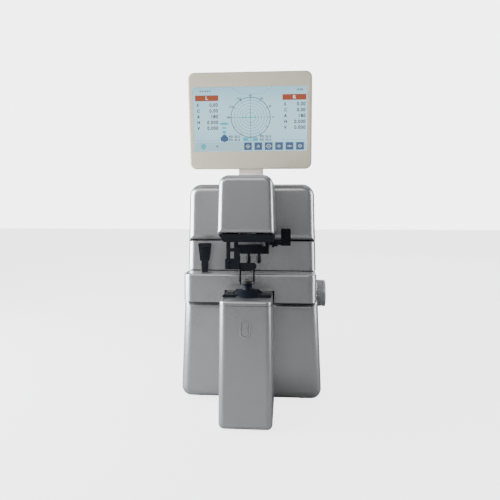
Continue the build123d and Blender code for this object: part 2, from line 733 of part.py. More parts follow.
write("lamp_board", lamp_board + lamp_led)

# ==== lens holder ================================================================================
holder_low = 192.0
holder_high = 205.0
holder_y0 = holder_y - holder_half_depth
holder_y1 = holder_y + holder_half_depth
leg_top = 250.0
holder_body = slab(
    [(-26.8, holder_low), (-9.0, holder_low), (-9.0, holder_high), (-26.8, holder_high)],
    [1, 1, 0.8, 0.8],
    holder_y0 - 1,
    holder_y1,
)
holder_body += block(-25.4, -21.0, holder_y0, holder_y1, holder_high - 1, leg_top)
holder_body += block(-15.8, -11.0, holder_y0, holder_y1, holder_high - 1, leg_top)
holder_body += block(-15.8, -9.0, holder_y0, holder_y1, holder_high - 1, 214.0)
holder_body += block(-25.4, -11.0, holder_y0, holder_y1, leg_top - 4, leg_top)
holder_body += block(-25.4, -9.0, holder_y0, holder_y1, 214.0, 218.0)
write("holder_slide", holder_body)

bar = slab(
    [(-9.0, holder_bar_low), (12.0, holder_bar_low), (12.0, holder_bar_high), (-9.0, holder_bar_high)],
    [0.5, 3.9, 3.9, 0.5],
    holder_y0,
    holder_y1,
)
tips = []
for side in (-1, 1):
    pin_x = side * holder_pin_x
    bar += rod_z(pin_x, holder_y, holder_pin_radius, holder_tip_low + 3.0, holder_bar_low + 1)
    tip = rod_z(pin_x, holder_y, 1.5, holder_tip_low + 1.5, holder_tip_low + 3.0)
    tips.append(tip + Pos(pin_x, holder_y, holder_tip_low + 1.5) * Sphere(1.5))
write("holder_bar", bar)
write("holder_tips", Compound(children=tips))

# the slide runs between two guide plates inside the head and is pushed down by one spring
guide_low = 238.5
guide_high = 243.5
spring_x = -18.2
spring_top = upper_arm_low
holder_guide = block(-30.0, -6.0, -17.5, 2.0, guide_low, guide_high)
holder_guide -= rod_z(0, 0, lamp_radius + 0.6, 200, 300)
for leg_x0, leg_x1 in ((-25.4, -21.0), (-15.8, -11.0)):
    holder_guide -= block(leg_x0 - 0.15, leg_x1 + 0.15, holder_y0 - 0.15, holder_y1 + 0.15, 200, 300)
holder_guide += block(-30.0, -27.0, -17.5, 2.0, guide_low, upper_arm_low)
holder_guide += block(-30.0, -12.8, -17.5, -6.0, spring_top - 2.5, upper_arm_low)
write("holder_guide", holder_guide)
spring_path = Pos(spring_x, holder_y, leg_top + 0.8) * Helix(
    pitch=(spring_top - 2.5 - leg_top - 1.6) / 8, height=spring_top - 2.5 - leg_top - 1.6, radius=2.6
)
spring_start = Plane(origin=spring_path @ 0, z_dir=spring_path % 0)
holder_spring = sweep(spring_start * Circle(0.45), path=spring_path)
write("holder_spring", holder_spring)

# ==== marker =====================================================================================
crank_x0 = 27.2
crank_x1 = 30.4
carrier_x0 = 22.4
carrier_x1 = 26.6
pivot_y = marker_shaft_y
pivot_z = marker_shaft_z + marker_crank


def arm(y, z, hole):
    """One of the two equal arms, upright at rest, with its fixed end at (y, z)."""
    shape = block(crank_x0, crank_x1, y - 2.6, y + 2.6, z, z + marker_crank)
    for end_z in (z, z + marker_crank):
        shape += rod_x(y, end_z, 2.9, crank_x0, crank_x1)
    return shape - rod_x(y, z, hole, crank_x0 - 1, crank_x1 + 1)


marker_crank_arm = arm(marker_shaft_y, marker_shaft_z, marker_shaft_radius - 0.5)
marker_crank_arm += rod_x(pivot_y, pivot_z, 1.4, carrier_x0, crank_x0)
write("marker_crank", marker_crank_arm)
marker_link = arm(link_y, link_z, 1.5 + run)
marker_link -= rod_x(link_y, link_z + marker_crank, 1.4, crank_x0 - 1, crank_x1 + 1)
write("marker_link", marker_link)
handle_x0 = 42.5
handle_x1 = 55.0
marker_shaft = rod_x(marker_shaft_y, marker_shaft_z, marker_shaft_radius, crank_x1 + 0.2, handle_x0 + 5)
neck_radius = marker_shaft_radius - 0.5
marker_shaft += rod_x(marker_shaft_y, marker_shaft_z, neck_radius, crank_x0 + 0.2, crank_x1 + 0.2)
write("marker_shaft", marker_shaft)
handle = slab(
    [(handle_x0, 219.6), (handle_x1, 219.6), (handle_x1, 241.6), (handle_x0, 241.6)],
    [1.4, 1.4, 1.8, 1.8],
    marker_shaft_y - 4,
    marker_shaft_y + 4,
)
for rib in range(6):
    rib_z = 227.5 + rib * 2.2
    for face_y in (marker_shaft_y - 4, marker_shaft_y + 4):
        handle += rod_x(face_y, rib_z, 0.7, handle_x0 + 1.2, handle_x1 - 1.2)
handle -= rod_x(marker_shaft_y, marker_shaft_z, marker_shaft_radius, handle_x0 - 1, handle_x0 + 5)
write("marker_handle", handle)

pen_y = marker_shaft_y
block_y0 = pen_y - 4.6
block_y1 = pen_y + 5.0
block_low = 209.0
block_high = 219.4
pen_half = pen_spacing + 4.2
marker_block = block(-pen_half, pen_half, block_y0, block_y1, block_low, block_high)
marker_block += block(pen_half - 1, carrier_x1, block_y0, block_y1, block_low, block_high - 1)
marker_block += block(carrier_x0, carrier_x1, block_y0, link_y + 3, block_low, block_high - 1)
marker_block += block(
    carrier_x0, carrier_x1, block_y0 + 1, link_y + 3, block_low, link_z + marker_crank + 3,
)
marker_block -= rod_x(pivot_y, pivot_z, 1.4 + run, carrier_x0 - 1, carrier_x1 + 1)
marker_block += rod_x(link_y, link_z + marker_crank, 1.1, carrier_x1 - 1, crank_x1)
for pen in (-1, 0, 1):
    marker_block -= rod_z(pen * pen_spacing, pen_y, 2.0 + run, block_low - 1, block_high - 1.5)
marker_block += block(
    -pen_half + 3, pen_half, block_y0 + 0.5, block_y1 - 0.5, block_high - 0.5, block_high + 1.2,
)
write("marker_block", marker_block)
pen_names = {-1: "left", 0: "centre", 1: "right"}
pen_tip = 196.0
for pen, pen_name in pen_names.items():
    x = pen * pen_spacing
    shape = rod_z(x, pen_y, pen_radius, pen_tip + pen_radius, block_low - pen_stroke - 0.4)
    shape += Pos(x, pen_y, pen_tip + pen_radius) * Sphere(pen_radius)
    shape += rod_z(x, pen_y, 2.0, block_low - pen_stroke - 0.5, block_high - 1.9 - pen_stroke)
    write(f"marker_pen_{pen_name}", shape)

# ==== screen =====================================================================================
screen_place = Pos(0, screen_y, screen_z) * Rot(screen_lean, 0, 0)
half_width = screen_width / 2
half_height = screen_height / 2
front_y = -screen_depth / 2
back_y = screen_depth / 2
split_y = front_y + 9.0


def plate(width, height, y0, y1, corner, rise=0.0):
    """A rounded rectangle facing front, from y0 back to y1, in the screen's own frame."""
    outline = Plane.XZ.offset(-y1) * Pos(0, rise) * RectangleRounded(width, height, corner)
    return extrude(outline, y1 - y0)


bezel = plate(screen_width, screen_height, front_y, split_y, screen_corner)
bezel = fillet(bezel.faces().sort_by(Axis.Y)[0].edges(), 2.6)
bezel -= plate(display_width + 0.6, display_height + 0.6, front_y - 1, split_y + 1, 0.8, display_rise)
glass_width = display_width + 7
glass_height = display_height + 7
bezel -= plate(glass_width + 0.4, glass_height + 0.4, front_y + 1.4, split_y + 1, 1.5, display_rise)
bezel -= plate(
    screen_width - 2 * wall, screen_height - 2 * wall, front_y + 4.5, split_y + 1, screen_corner - wall,
)
write("screen_bezel", screen_place * bezel)
glass_y = front_y + 1.4
touch_glass = plate(glass_width, glass_height, glass_y, glass_y + 1.1, 1.3, display_rise)
write("touch_glass", screen_place * touch_glass)
display_panel = plate(glass_width, glass_height, glass_y + 1.1, glass_y + 5.0, 1.3, display_rise)
write("display_panel", screen_place * display_panel)

rear_shell = plate(screen_width - 1.0, screen_height - 1.0, split_y + seam, back_y, screen_corner - 0.5)
rear_shell = fillet(rear_shell.faces().sort_by(Axis.Y)[-1].edges(), 5)
rear_shell -= plate(
    screen_width - 1.0 - 2 * wall,
    screen_height - 1.0 - 2 * wall,
    split_y - 1,
    back_y - wall,
    screen_corner - 0.5 - wall,
)
pocket_half = neck_half + 2.5
pocket_front = hinge_y - 7.2
pocket_top = hinge_z + 10.0
pocket_wall = 2.0
pocket = block(
    -pocket_half - wall, pocket_half + wall, pocket_front - pocket_wall, back_y,
    -half_height + wall + 0.8, pocket_top + wall,
)
pocket += block(
    -pocket_half - wall, pocket_half + wall, split_y + seam, back_y, -half_height + 0.5, pocket_top,
)
rear_shell += pocket & plate(screen_width - 1.2, screen_height - 1.2, -20, back_y, screen_corner - 0.6)
rear_shell -= block(-pocket_half, pocket_half, pocket_front, back_y + 1, -half_height - 1, pocket_top)
rear_shell += rod_x(hinge_y, hinge_z, 5, -pocket_half - wall, -neck_half - 0.4)
rear_shell += rod_x(hinge_y, hinge_z, 5, neck_half + 0.4, pocket_half + wall)
rear_shell -= rod_x(hinge_y, hinge_z, hinge_pin_radius, -half_width, half_width)
for vent in range(13):
    vent_x = (vent - 6) * 7.0
    rear_shell -= block(vent_x - 1.4, vent_x + 1.4, back_y - 4, back_y + 1, 8, 34)
write("screen_rear_shell", screen_place * rear_shell)

hinge_pin = rod_x(hinge_y, hinge_z, hinge_pin_radius, -pocket_half - wall, pocket_half + wall)
write("screen_hinge_pin", screen_place * hinge_pin)
screen_board = block(-60, 60, 0.5, 2.1, -25, 45)
screen_board += block(-14, 14, 2.1, 4.6, 0, 28)
for post_x in (-55, 55):
    for post_z in (-20, 40):
        screen_board += rod_y(post_x, post_z, 2.5, glass_y + 5.0, 0.5)
write("screen_board", screen_place * screen_board)

neck_points = [
    (axis_y - 0.4, head_top + neck_step),
    (axis_y + 9.0, head_top + neck_step),
    (axis_y + 7.0, axis_z),
    (axis_y - 0.4, axis_z),
]
neck = side_plate(neck_points, [0.6, 1.0, 1.0, 0.6], -neck_half, neck_half)
neck += rod_x(axis_y, axis_z, 6.0, -neck_half, neck_half)
neck -= rod_x(axis_y, axis_z, hinge_pin_radius + run, -neck_half - 1, neck_half + 1)
neck -= block(-neck_half + 3, neck_half - 3, axis_y + 2.5, axis_y + 6.2, head_top, axis_z - 9)
write("screen_neck", neck)

# ==== electronics and the rear panel =============================================================
panel_y0 = body_rear - 2.0
rear_panel = slab(
    [
        (-84, foot_height + 9), (84, foot_height + 9),
        (84, lower_top - wall - 4), (-84, lower_top - wall - 4),
    ],
    [6, 6, 6, 6],
    panel_y0 + 0.5,
    body_rear,
)
rear_panel += slab(
    [
        (-93, foot_height + 4), (93, foot_height + 4),
        (90, lower_top - wall - 0.4), (-90, lower_top - wall - 0.4),
    ],
    [10, 10, 1, 1],
    panel_y0 - 1.5,
    panel_y0 + 0.5,
)
inlet_x = -52.0
inlet_z = 42.0
inlet_half_width = 13.7
inlet_half_height = 9.9
inlet_depth = 25.0
socket_depth = 15.0
blade_recess = 8.5
switch_x = -18.0
switch_half_width = 6.6
switch_half_height = 9.6
switch_wall = 1.3
port_x = (24.0, 44.0, 62.0)
port_half = 6.5
port_low = inlet_z - 6.0
port_high = inlet_z + 6.0
port_depth = 8.0
panel_fit = 0.1
flange = 1.8  # front rim of the inlet and of the switch
panel_cut = (panel_y0 - 6, body_rear + 10)
for centre_x, half_width, half_height in (
    (inlet_x, inlet_half_width, inlet_half_height),
    (switch_x, switch_half_width, switch_half_height),
):
    rear_panel -= block(
        centre_x - half_width - panel_fit, centre_x + half_width + panel_fit, *panel_cut,
        inlet_z - half_height - panel_fit, inlet_z + half_height + panel_fit,
    )
for x in port_x:
    rear_panel -= block(x - port_half, x + port_half, *panel_cut, port_low, port_high)
vent_pitch = 8.0
vent_half = 1.6
for vent in range(14):
    vent_x = (vent - 6.5) * vent_pitch
    rear_panel -= block(vent_x - vent_half, vent_x + vent_half, *panel_cut, 84, 116)
write("rear_panel", rear_panel)

inlet = block(
    inlet_x - inlet_half_width, inlet_x + inlet_half_width, body_rear - inlet_depth, body_rear,
    inlet_z - inlet_half_height, inlet_z + inlet_half_height,
)
inlet += block(inlet_x - 24.5, inlet_x + 24.5, body_rear, body_rear + flange, inlet_z - 12, inlet_z + 12)
socket_outline = [(-12, -8), (12, -8), (12, 4), (8, 8), (-8, 8), (-12, 4)]
socket_points = [(inlet_x + x, inlet_z + z) for x, z in socket_outline]
inlet -= slab(socket_points, [2, 2, 1, 1, 1, 1], body_rear - socket_depth, body_rear + flange + 1)
for blade_x, blade_z in ((-7, -2), (0, 2), (7, -2)):
    inlet += block(
        inlet_x + blade_x - 1, inlet_x + blade_x + 1,
        body_rear - socket_depth - 1, body_rear - blade_recess,
        inlet_z + blade_z - 2, inlet_z + blade_z + 2,
    )
housing = block(
    switch_x - switch_half_width, switch_x + switch_half_width, panel_y0 - 16, body_rear,
    inlet_z - switch_half_height, inlet_z + switch_half_height,
)
housing += block(
    switch_x - switch_half_width - 1, switch_x + switch_half_width + 1,
    body_rear, body_rear + flange - 0.2,
    inlet_z - switch_half_height - 1, inlet_z + switch_half_height + 1,
)
housing -= block(
    switch_x - switch_half_width + switch_wall + 0.1, switch_x + switch_half_width - switch_wall - 0.1,
    body_rear - 11, body_rear + flange + 1,
    inlet_z - switch_half_height + switch_wall - 0.1, inlet_z + switch_half_height - switch_wall + 0.1,
)
rocker_y = body_rear - 4.0
pin_half = 6.0
rocker_half = 4.8
housing += rod_x(rocker_y, inlet_z, 1.0, switch_x - pin_half, switch_x + pin_half)
write("power_entry", inlet + housing)
rocker = side_plate(
    [(rocker_y - 3, inlet_z - 5), (rocker_y - 3, inlet_z + 5), (rocker_y + 6.6, inlet_z + 7.6),
     (rocker_y + 4.6, inlet_z), (rocker_y + 6.6, inlet_z - 7.6)],
    [1, 1, 0.8, 4, 0.8],
    switch_x - rocker_half,
    switch_x + rocker_half,
)
rocker -= rod_x(rocker_y, inlet_z, 1.0 + run, switch_x - pin_half, switch_x + pin_half)
write("power_rocker", rocker)
ports = []
for x in port_x:
    port = block(x - port_half, x + port_half, panel_y0 - 12, body_rear, port_low, port_high)
    port -= block(
        x - port_half + 1, x + port_half - 1, body_rear - port_depth, body_rear + 1,
        port_low + 1, port_high - 1,
    )
    ports.append(port)
write("data_ports", Compound(children=ports))

main_board = block(-70, 70, 146, 147.6, 14, 74)
for chip_x, chip_z, chip_size in ((-30, 46, 22), (14, 50, 16), (48, 34, 12)):
    chip_half = chip_size / 2
    main_board += block(
        chip_x - chip_half, chip_x + chip_half, 147.6, 150, chip_z - chip_half, chip_z + chip_half,
    )
for post_x in (-62, 62):
    main_board += block(post_x - 4, post_x + 4, 140, 146, plate_high, 24)
write("main_board", main_board)
supply = block(-78, -30, 90, 140, plate_high, plate_high + 34)
supply -= block(-76, -32, 92, 138, plate_high + 2, plate_high + 40)
supply += block(-72, -36, 96, 134, plate_high + 2, plate_high + 4)
supply += rod_z(-60, 106, 9, plate_high + 2, plate_high + 28)
supply += block(-50, -38, 98, 130, plate_high + 2, plate_high + 24)
write("power_supply", supply)
screws = []
for screw_x in (-78, 78):
    for screw_z in (24, 128):
        screw = rod_y(screw_x, screw_z, 3.0, body_rear, body_rear + 2)
        screws.append(screw - rod_y(screw_x, screw_z, 1.2, body_rear + 0.8, body_rear + 3))
write("panel_screws", Compound(children=screws))
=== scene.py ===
import math

import bpy
from mathutils import Matrix, Vector


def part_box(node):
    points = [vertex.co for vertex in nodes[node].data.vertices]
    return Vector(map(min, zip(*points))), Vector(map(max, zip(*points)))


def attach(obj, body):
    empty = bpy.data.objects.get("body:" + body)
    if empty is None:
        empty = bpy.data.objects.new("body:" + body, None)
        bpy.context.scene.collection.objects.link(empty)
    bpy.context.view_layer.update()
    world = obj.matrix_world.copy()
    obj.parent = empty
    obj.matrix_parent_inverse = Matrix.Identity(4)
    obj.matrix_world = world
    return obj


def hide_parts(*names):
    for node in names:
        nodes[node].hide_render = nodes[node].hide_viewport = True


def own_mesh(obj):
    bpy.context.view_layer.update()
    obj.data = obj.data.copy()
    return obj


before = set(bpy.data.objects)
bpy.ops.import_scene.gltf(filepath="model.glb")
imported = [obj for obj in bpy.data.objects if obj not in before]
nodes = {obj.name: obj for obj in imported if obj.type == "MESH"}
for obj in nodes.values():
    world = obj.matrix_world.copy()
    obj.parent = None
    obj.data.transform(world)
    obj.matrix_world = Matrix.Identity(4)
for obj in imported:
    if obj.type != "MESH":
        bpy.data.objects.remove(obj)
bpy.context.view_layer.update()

bpy.ops.object.select_all(action="DESELECT")

# ---- Studio --------------------------------------------------------------------------------------
# A level camera stands at the height of the head, a little to the right and turned slightly left.
# The floor and backdrop are plain and pale. Soft lamps stand left, front, right, above and behind.
camera_data = bpy.data.cameras.new("view")
camera_data.lens = 34.56
camera_data.sensor_width = 36
camera_data.shift_y = -0.088
camera = bpy.data.objects.new("view", camera_data)
camera.location = (0.048, -0.609, 0.271)
camera.rotation_euler = (math.radians(90), 0, math.radians(4.2))
bpy.context.scene.collection.objects.link(camera)
bpy.context.scene.camera = camera


def area_light(name, place, target, size, power, colour=(1, 1, 1)):
    """A soft square lamp that looks at a point."""
    data = bpy.data.lights.new(name, "AREA")
    data.shape = "RECTANGLE"
    data.size, data.size_y = size
    data.energy = power
    data.color = colour
    lamp = bpy.data.objects.new(name, data)
    lamp.location = place
    lamp.rotation_euler = (Vector(target) - Vector(place)).to_track_quat("-Z", "Y").to_euler()
    bpy.context.scene.collection.objects.link(lamp)


area_light(
    "window_left", (-0.85, -0.12, 0.26), (0, 0.08, 0.22), (0.85, 1.0), 60, (0.95, 0.99, 1.0),
)
area_light("fill_front", (-0.45, -1.7, 1.3), (0, 0, 0.3), (1.4, 0.8), 12, (1.0, 0.985, 0.96))
area_light("card_front", (0.05, -2.0, 0.62), (0, 0, 0.3), (2.2, 0.8), 1.2)
area_light("fill_rear", (0.5, 1.9, 1.0), (0, 0.2, 0.2), (1.6, 1.0), 16)
area_light("ceiling", (0.1, 0.1, 1.9), (0, 0, 0.2), (1.8, 1.8), 9)
area_light("strip_right", (0.9, 0.0, 0.25), (0, 0.05, 0.2), (0.30, 0.9), 9, (0.97, 1.0, 1.0))

world = bpy.data.worlds.new("studio")
world.use_nodes = True
world_tree = world.node_tree
surround = world_tree.nodes["Background"]
surround.inputs["Color"].default_value = (0.93, 0.95, 0.97, 1)
surround.inputs["Strength"].default_value = 0.28
backdrop = world_tree.nodes.new("ShaderNodeBackground")
backdrop.inputs["Color"].default_value = (1, 1, 1, 1)
backdrop.inputs["Strength"].default_value = 5
seen = world_tree.nodes.new("ShaderNodeLightPath")
choice = world_tree.nodes.new("ShaderNodeMixShader")
world_tree.links.new(seen.outputs["Is Camera Ray"], choice.inputs["Fac"])
world_tree.links.new(surround.outputs[0], choice.inputs[1])
world_tree.links.new(backdrop.outputs[0], choice.inputs[2])
world_tree.links.new(choice.outputs[0], world_tree.nodes["World Output"].inputs["Surface"])
bpy.context.scene.world = world

bpy.ops.mesh.primitive_plane_add(size=8, location=(0, 1.0, -0.0003))
floor = bpy.context.object
floor.name = "floor"
floor_material = bpy.data.materials.new("pale_floor")
floor_material.use_nodes = True
floor_shader = floor_material.node_tree.nodes["Principled BSDF"]
floor_shader.inputs["Base Color"].default_value = (0.28, 0.28, 0.28, 1)
floor_shader.inputs["Roughness"].default_value = 0.9
floor_shader.inputs["Emission Color"].default_value = (1, 1, 1, 1)
floor_eye = floor_material.node_tree.nodes.new("ShaderNodeLightPath")
floor_lift = floor_material.node_tree.nodes.new("ShaderNodeMath")
floor_lift.operation = "MULTIPLY"
floor_lift.inputs[1].default_value = 3.2
floor_material.node_tree.links.new(floor_eye.outputs["Is Camera Ray"], floor_lift.inputs[0])
floor_material.node_tree.links.new(floor_lift.outputs[0], floor_shader.inputs["Emission Strength"])
floor.data.materials.append(floor_material)
bpy.ops.object.transform_apply(location=True, rotation=True, scale=True)
bpy.ops.object.select_all(action="DESELECT")

# ---- Silver covers -------------------------------------------------------------------------------
# The body, pillar, head and lens table are moulded shells in a fine metallic silver paint.
# Its flake shows as grain, its tone drifts slowly, and a little dust settles on top faces.


def grain_group():
    """Tone, roughness and height that change over a surface, from its own coordinates."""
    group = bpy.data.node_groups.new("surface_grain", "ShaderNodeTree")
    face = group.interface
    face.new_socket("Colour", in_out="INPUT", socket_type="NodeSocketColor")
    for name, value in (
        ("Tone change", 0.06),
        ("Grain size", 900.0),
        ("Grain depth", 0.5),
        ("Roughness", 0.4),
        ("Roughness change", 0.1),
        ("Dust", 0.15),
        ("Stretch", 1.0),
    ):
        socket = face.new_socket(name, in_out="INPUT", socket_type="NodeSocketFloat")
        socket.default_value = value
    face.new_socket("Colour", in_out="OUTPUT", socket_type="NodeSocketColor")
    face.new_socket("Roughness", in_out="OUTPUT", socket_type="NodeSocketFloat")
    face.new_socket("Height", in_out="OUTPUT", socket_type="NodeSocketFloat")
    tree = group.nodes
    link = group.links.new
    given = tree.new("NodeGroupInput")
    out = tree.new("NodeGroupOutput")
    place = tree.new("ShaderNodeTexCoord")
    stretch = tree.new("ShaderNodeVectorMath")
    stretch.operation = "MULTIPLY"
    shape = tree.new("ShaderNodeCombineXYZ")
    shape.inputs["X"].default_value = 1
    shape.inputs["Y"].default_value = 1
    link(given.outputs["Stretch"], shape.inputs["Z"])
    link(place.outputs["Object"], stretch.inputs[0])
    link(shape.outputs[0], stretch.inputs[1])

    def noise(size, detail, source):
        node = tree.new("ShaderNodeTexNoise")
        node.inputs["Scale"].default_value = size
        node.inputs["Detail"].default_value = detail
        link(source, node.inputs["Vector"])
        return node

    slow = noise(9, 3, place.outputs["Object"])
    fine = noise(900, 2, stretch.outputs[0])
    link(given.outputs["Grain size"], fine.inputs["Scale"])
    specks = noise(2600, 0, place.outputs["Object"])

    def maths(kind, a, b):
        node = tree.new("ShaderNodeMath")
        node.operation = kind
        for index, value in enumerate((a, b)):
            if hasattr(value, "links"):
                link(value, node.inputs[index])
            else:
                node.inputs[index].default_value = value
        return node.outputs[0]

    slow_swing = maths("SUBTRACT", slow.outputs["Fac"], 0.5)
    fine_swing = maths("SUBTRACT", fine.outputs["Fac"], 0.5)
    tone = maths(
        "MULTIPLY", maths("ADD", slow_swing, maths("MULTIPLY", fine_swing, 0.6)),
        given.outputs["Tone change"],
    )
    brightness = maths("ADD", maths("MULTIPLY", tone, 4.0), 1.0)
    tinted = tree.new("ShaderNodeVectorMath")
    tinted.operation = "SCALE"
    link(given.outputs["Colour"], tinted.inputs[0])
    link(brightness, tinted.inputs["Scale"])
    facing = tree.new("ShaderNodeNewGeometry")
    upright = tree.new("ShaderNodeSeparateXYZ")
    link(facing.outputs["Normal"], upright.inputs[0])
    settled = maths(
        "MULTIPLY", maths("POWER", maths("MAXIMUM", upright.outputs["Z"], 0.0), 3.0),
        specks.outputs["Fac"],
    )
    dusty = maths("MULTIPLY", settled, given.outputs["Dust"])
    mixed = tree.new("ShaderNodeMix")
    mixed.data_type = "RGBA"
    link(dusty, mixed.inputs["Factor"])
    link(tinted.outputs[0], mixed.inputs["A"])
    mixed.inputs["B"].default_value = (0.62, 0.60, 0.57, 1)
    link(mixed.outputs["Result"], out.inputs["Colour"])
    swing = maths(
        "MULTIPLY", maths("ADD", slow_swing, fine_swing), given.outputs["Roughness change"],
    )
    rough = maths(
        "ADD", maths("ADD", swing, given.outputs["Roughness"]), maths("MULTIPLY", dusty, 0.5),
    )
    link(rough, out.inputs["Roughness"])
    link(
        maths("MULTIPLY", fine.outputs["Fac"], given.outputs["Grain depth"]), out.inputs["Height"],
    )
    return group


grain = grain_group()


def finish_material(name, colour, rough, metal=0.0, tone=0.06, size=900.0, depth=0.5, bump=0.06,
                    dust=0.12, stretch=1.0, coat=0.0, change=0.1, shine=0.5):
    """A material of this instrument: its own colour and gloss over the shared grain."""
    material = bpy.data.materials.new(name)
    material.use_nodes = True
    tree = material.node_tree
    shader = tree.nodes["Principled BSDF"]
    detail = tree.nodes.new("ShaderNodeGroup")
    detail.node_tree = grain
    detail.inputs["Colour"].default_value = (*colour, 1)
    detail.inputs["Tone change"].default_value = tone
    detail.inputs["Grain size"].default_value = size
    detail.inputs["Grain depth"].default_value = depth
    detail.inputs["Roughness"].default_value = rough
    detail.inputs["Roughness change"].default_value = change
    detail.inputs["Dust"].default_value = dust
    detail.inputs["Stretch"].default_value = stretch
    tree.links.new(detail.outputs["Colour"], shader.inputs["Base Color"])
    tree.links.new(detail.outputs["Roughness"], shader.inputs["Roughness"])
    raised = tree.nodes.new("ShaderNodeBump")
    raised.inputs["Strength"].default_value = bump
    raised.inputs["Distance"].default_value = 0.0006
    tree.links.new(detail.outputs["Height"], raised.inputs["Height"])
    tree.links.new(raised.outputs["Normal"], shader.inputs["Normal"])
    shader.inputs["Metallic"].default_value = metal
    shader.inputs["Coat Weight"].default_value = coat
    shader.inputs["Coat Roughness"].default_value = 0.15
    shader.inputs["Specular IOR Level"].default_value = shine
    return material


def paint_node(material, *names):
    """Gives CAD nodes a finished material."""
    for name in names:
        mesh = nodes[name].data
        mesh.materials.clear()
        mesh.materials.append(material)


silver = finish_material(
    "silver_paint", (0.36, 0.36, 0.37), 0.30, metal=0.86, tone=0.035, size=1500, depth=0.6,
    bump=0.10, dust=0.10, coat=0.12,
)
paint_node(
    silver, "lower_shell", "pillar_shell", "pillar_cap", "read_button", "mid_shell", "lens_table",
    "upper_skirt", "upper_shell", "side_button", "head_shell", "table_knob", "knob_cap",
)

# ---- Feet, floor plate and column ----------------------------------------------------------------
# Four rubber feet carry a plated steel floor plate. A sand-cast aluminium column stands on it with
# one arm for the sensor barrel and one for the lamp tube.
rubber = finish_material(
    "black_rubber", (0.018, 0.018, 0.019), 0.78, tone=0.12, size=1900, depth=0.9, bump=0.25,
    dust=0.2,
)
casting = finish_material(
    "cast_aluminium", (0.56, 0.57, 0.58), 0.52, metal=0.9, tone=0.07, size=600, depth=1.0,
    bump=0.30,
)
zinc = finish_material(
    "zinc_plate", (0.55, 0.55, 0.52), 0.42, metal=0.9, tone=0.12, size=160, depth=0.5, bump=0.08,
)
paint_node(rubber, "rubber_feet")
paint_node(casting, "column_frame", "sensor_barrel", "lamp_tube", "pinhole_plate")
paint_node(zinc, "base_plate", "power_supply")

# ---- Circuit boards ------------------------------------------------------------------------------
# Glass-fibre boards are etched and coated with green solder mask over copper. Their gloss is
# slightly uneven. They stay hidden inside the covers.
board = finish_material(
    "circuit_board", (0.015, 0.10, 0.045), 0.32, tone=0.25, size=240, depth=0.6, bump=0.12,
    coat=0.3,
)
paint_node(board, "main_board", "screen_board", "sensor_board", "button_board", "lamp_board")

# ---- Lenses --------------------------------------------------------------------------------------
# One ground and polished glass lens sits in the sensor barrel and one in the lamp tube. The coating
# gives each a faint blue tint.
lens_tints = {"imaging_lens": (0.78, 0.84, 0.98), "collimator_lens": (0.80, 0.92, 0.95)}
for lens_name, tint in lens_tints.items():
    lens_glass = finish_material(
        f"coated_{lens_name}", tint, 0.03, tone=0.02, size=300, depth=0.1, bump=0.01, coat=0.6,
        change=0.02,
    )
    lens_glass.node_tree.nodes["Principled BSDF"].inputs["Transmission Weight"].default_value = 0.9
    paint_node(lens_glass, lens_name)

# ---- Read key ------------------------------------------------------------------------------------
# A stadium-shaped key is moulded in silver. It sits in a plated rim, which is pressed into the
# pillar and catches the light.
bright = finish_material(
    "bright_plating", (0.52, 0.53, 0.55), 0.24, metal=1.0, tone=0.04, size=1400, depth=0.4,
    bump=0.05,
)
paint_node(bright, "button_bezel")

# ---- Nosepiece -----------------------------------------------------------------------------------
# The support tube wears a sleeve with a slight waist, on a low stepped dome with a soft edge. Both
# are black plastic, turned round the optical axis. A rubber lip on top touches the lens.
mm = 0.001


def settle(name, body, material, round_edges=0.0, segments=2):
    """Names the active piece, rounds its edges, smooths it, and fixes it to its body."""
    piece = bpy.context.object
    bpy.ops.object.transform_apply(location=True, rotation=True, scale=True)
    if round_edges:
        bevel = piece.modifiers.new("edges", "BEVEL")
        bevel.width = round_edges
        bevel.segments = segments
        bevel.limit_method = "ANGLE"
        bpy.ops.object.modifier_apply(modifier="edges")
    bpy.ops.object.shade_smooth_by_angle(angle=math.radians(40))
    piece.name = name
    piece.data.materials.clear()
    piece.data.materials.append(material)
    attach(piece, body)
    bpy.ops.object.select_all(action="DESELECT")
    return piece


def turned(profile, steps=64):
    """A profile of (radius, height) points in millimetres, spun around the vertical axis."""
    bpy.ops.mesh.primitive_circle_add(vertices=len(profile))
    for vertex, (radius, height) in zip(bpy.context.object.data.vertices, profile):
        vertex.co = (radius * mm, 0, height * mm)
    bpy.ops.object.mode_set(mode="EDIT")
    bpy.ops.mesh.select_all(action="SELECT")
    bpy.ops.mesh.spin(steps=steps, angle=math.tau, center=(0, 0, 0), axis=(0, 0, 1))
    bpy.ops.mesh.select_all(action="SELECT")
    bpy.ops.mesh.remove_doubles(threshold=0.000005)
    bpy.ops.mesh.normals_make_consistent(inside=False)
    bpy.ops.object.mode_set(mode="OBJECT")


black = finish_material(
    "black_plastic", (0.0022, 0.0032, 0.0062), 0.46, tone=0.10, size=1300, depth=0.7, bump=0.16,
    dust=0.01, shine=0.18,
)
gloss_black = finish_material(
    "polished_black", (0.003, 0.005, 0.010), 0.55, tone=0.08, size=700, depth=0.2, bump=0.03,
    dust=0.01, shine=0.10,
)
paint_node(black, "nosepiece_base")
paint_node(gloss_black, "nosepiece")
paint_node(rubber, "nosepiece_tip")
turned(
    [
        (5.2, 173.2), (6.6, 173.2), (6.9, 172.8), (6.9, 172.2), (6.3, 171.6), (6.0, 169.5),
        (6.05, 167.0), (6.5, 165.2), (7.2, 164.3), (5.2, 164.3),
    ],
    72,
)
settle("nosepiece_sleeve", "base", gloss_black)
turned(
    [
        (5.6, 165.0), (8.0, 165.0), (9.6, 164.7), (13.6, 162.9), (14.6, 162.6), (15.4, 162.0),
        (18.2, 159.4), (19.2, 158.4), (19.4, 157.6), (19.4, 157.15), (5.6, 157.15),
    ],
    96,
)
settle("nosepiece_dome", "base", gloss_black)

